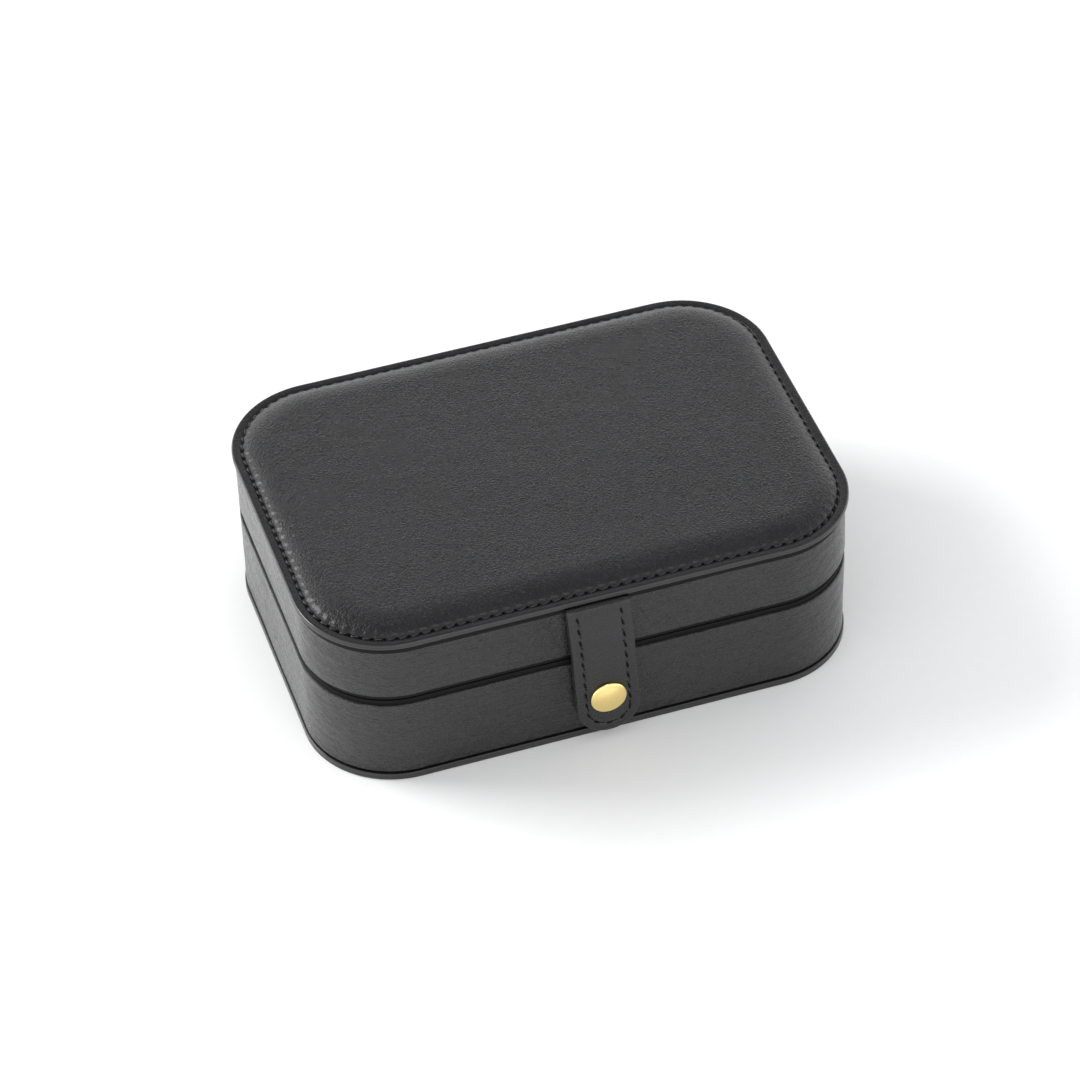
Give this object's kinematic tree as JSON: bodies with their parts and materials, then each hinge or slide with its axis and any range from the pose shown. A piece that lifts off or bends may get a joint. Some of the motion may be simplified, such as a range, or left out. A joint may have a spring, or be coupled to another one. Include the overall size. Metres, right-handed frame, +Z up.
{
  "type": "jewellery case",
  "caption": "Rounded rectangular leather jewellery case with a padded hinged lid, a snap strap, ring rolls, lined compartments and a lid mirror.",
  "frame": {"origin": "centre of the bottom face, which the case rests on", "axes": "+X along the long side, -Y towards the front with the strap, +Z up; the strap is centred on the snap at x = 0"},
  "size_m": [0.152, 0.1126, 0.0519],
  "materials": {
    "case_leather": "fine black grain",
    "board": "matte",
    "suede": "matte nap",
    "roll_suede": "matte nap",
    "pad_foam": "matte",
    "snap_metal": "polished",
    "mirror": "polished"
  },
  "bodies": {
    "base": {"bottom_panel_sole": "case_leather", "bottom_panel_board": "board", "base_wall_frame": "board", "base_wall_leather": "case_leather", "base_wall_lining": "suede", "base_floor_pad": "suede", "divider_left": "suede", "divider_right": "suede", "divider_side": "suede", "hinge_spine": "case_leather", "hinge_lining_strip": "suede", "snap_stud": "snap_metal", "snap_washer": "snap_metal", "ring_roll_1": "roll_suede", "ring_roll_2": "roll_suede", "ring_roll_3": "roll_suede", "ring_roll_4": "roll_suede", "ring_roll_5": "roll_suede", "ring_roll_6": "roll_suede"},
    "lid": {"lid_wall_frame": "board", "lid_wall_leather": "case_leather", "lid_wall_lining": "suede", "lid_top_board": "board", "lid_ceiling_lining": "suede", "lid_mirror": "mirror", "mirror_border": "suede", "top_panel_backing": "case_leather", "top_pad_foam": "pad_foam", "top_panel_leather": "case_leather", "strap_anchor_tab": "case_leather"},
    "strap": {"strap_outer_leather": "case_leather", "strap_inner_leather": "case_leather", "snap_cap": "snap_metal", "snap_socket": "snap_metal"}
  },
  "joints": [
    {"name": "lid_hinge", "type": "hinge", "parent": "base", "child": "lid", "pos_m": [0, 0.0525, 0.0285], "axis": [-1, 0, 0], "range_deg": [0, 105], "deforming": ["hinge_spine", "hinge_lining_strip"]},
    {"name": "strap_lift", "type": "hinge", "parent": "lid", "child": "strap", "pos_m": [0, -0.0542, 0.0464], "axis": [-1, 0, 0], "range_deg": [0, 100]}
  ]
}
